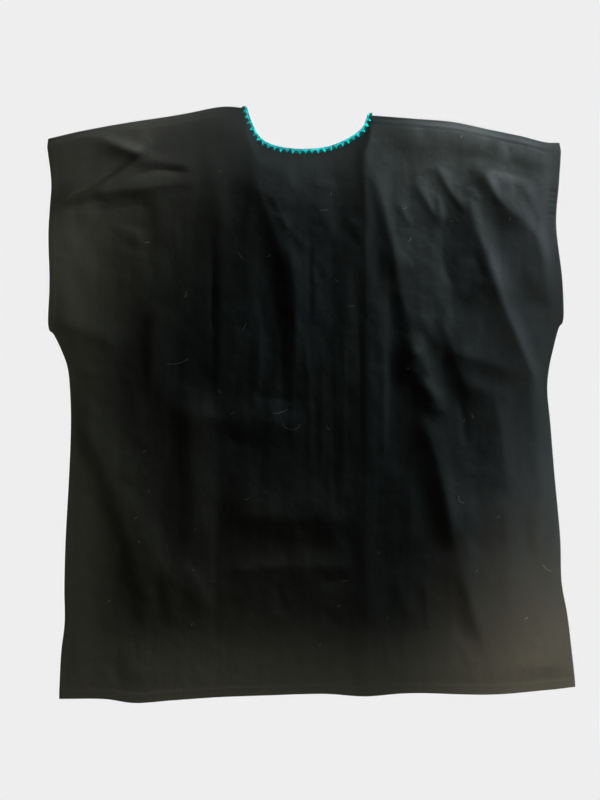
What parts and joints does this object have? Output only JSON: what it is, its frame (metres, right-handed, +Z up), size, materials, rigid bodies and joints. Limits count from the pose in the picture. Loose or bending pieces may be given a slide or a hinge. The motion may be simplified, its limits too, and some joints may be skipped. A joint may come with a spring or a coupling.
{
  "type": "huipil blouse",
  "caption": "Black cotton huipil blouse laid flat, back up: short sleeves in one with the body, scooped neck edged in turquoise crochet, side vents.",
  "frame": {"origin": "under the middle of the garment, on the surface that it lies on", "axes": "+Z up from the surface, +Y from the hem to the shoulders, +X to the right seen from above"},
  "size_m": [0.6117, 0.691, 0.0172],
  "materials": {
    "cotton": "matt black plain-weave cotton with a faint sheen",
    "crochet": "turquoise mercerised cotton thread, crocheted"
  },
  "bodies": {
    "root": {"back_panel": "cotton", "front_panel": "cotton", "neck_edging": "crochet"}
  },
  "joints": []
}
